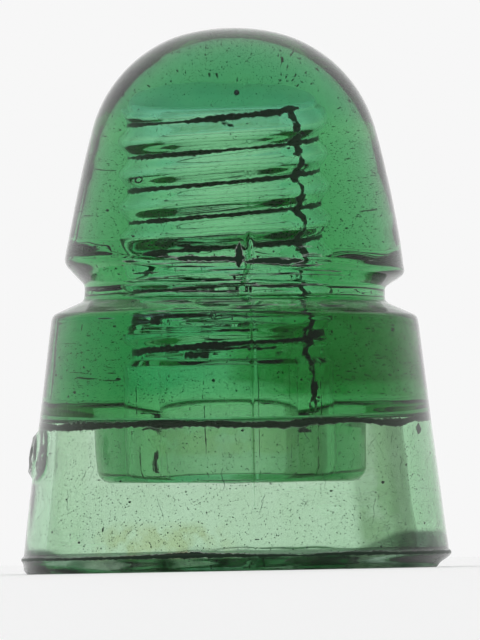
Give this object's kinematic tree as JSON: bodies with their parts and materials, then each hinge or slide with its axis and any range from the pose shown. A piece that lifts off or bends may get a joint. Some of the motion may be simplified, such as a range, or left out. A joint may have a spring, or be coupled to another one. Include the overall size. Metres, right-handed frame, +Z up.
{
  "type": "pin insulator",
  "caption": "Beehive-shaped pressed-glass pin insulator with a domed crown, a tie-wire groove, outer and inner skirts and a threaded pinhole from below.",
  "frame": {"origin": "centre of the resting plane under the base ring, on the pinhole's axis", "axes": "+Z up the pinhole's axis towards the dome; the casting is a body of revolution apart from its thread, so X and Y are free"},
  "size_m": [0.086, 0.086, 0.1086],
  "materials": {
    "green_glass": "fire-polished pressed glass, tinted green, with seeds and surface waves"
  },
  "bodies": {
    "root": {"glass_body": "green_glass"}
  },
  "joints": []
}
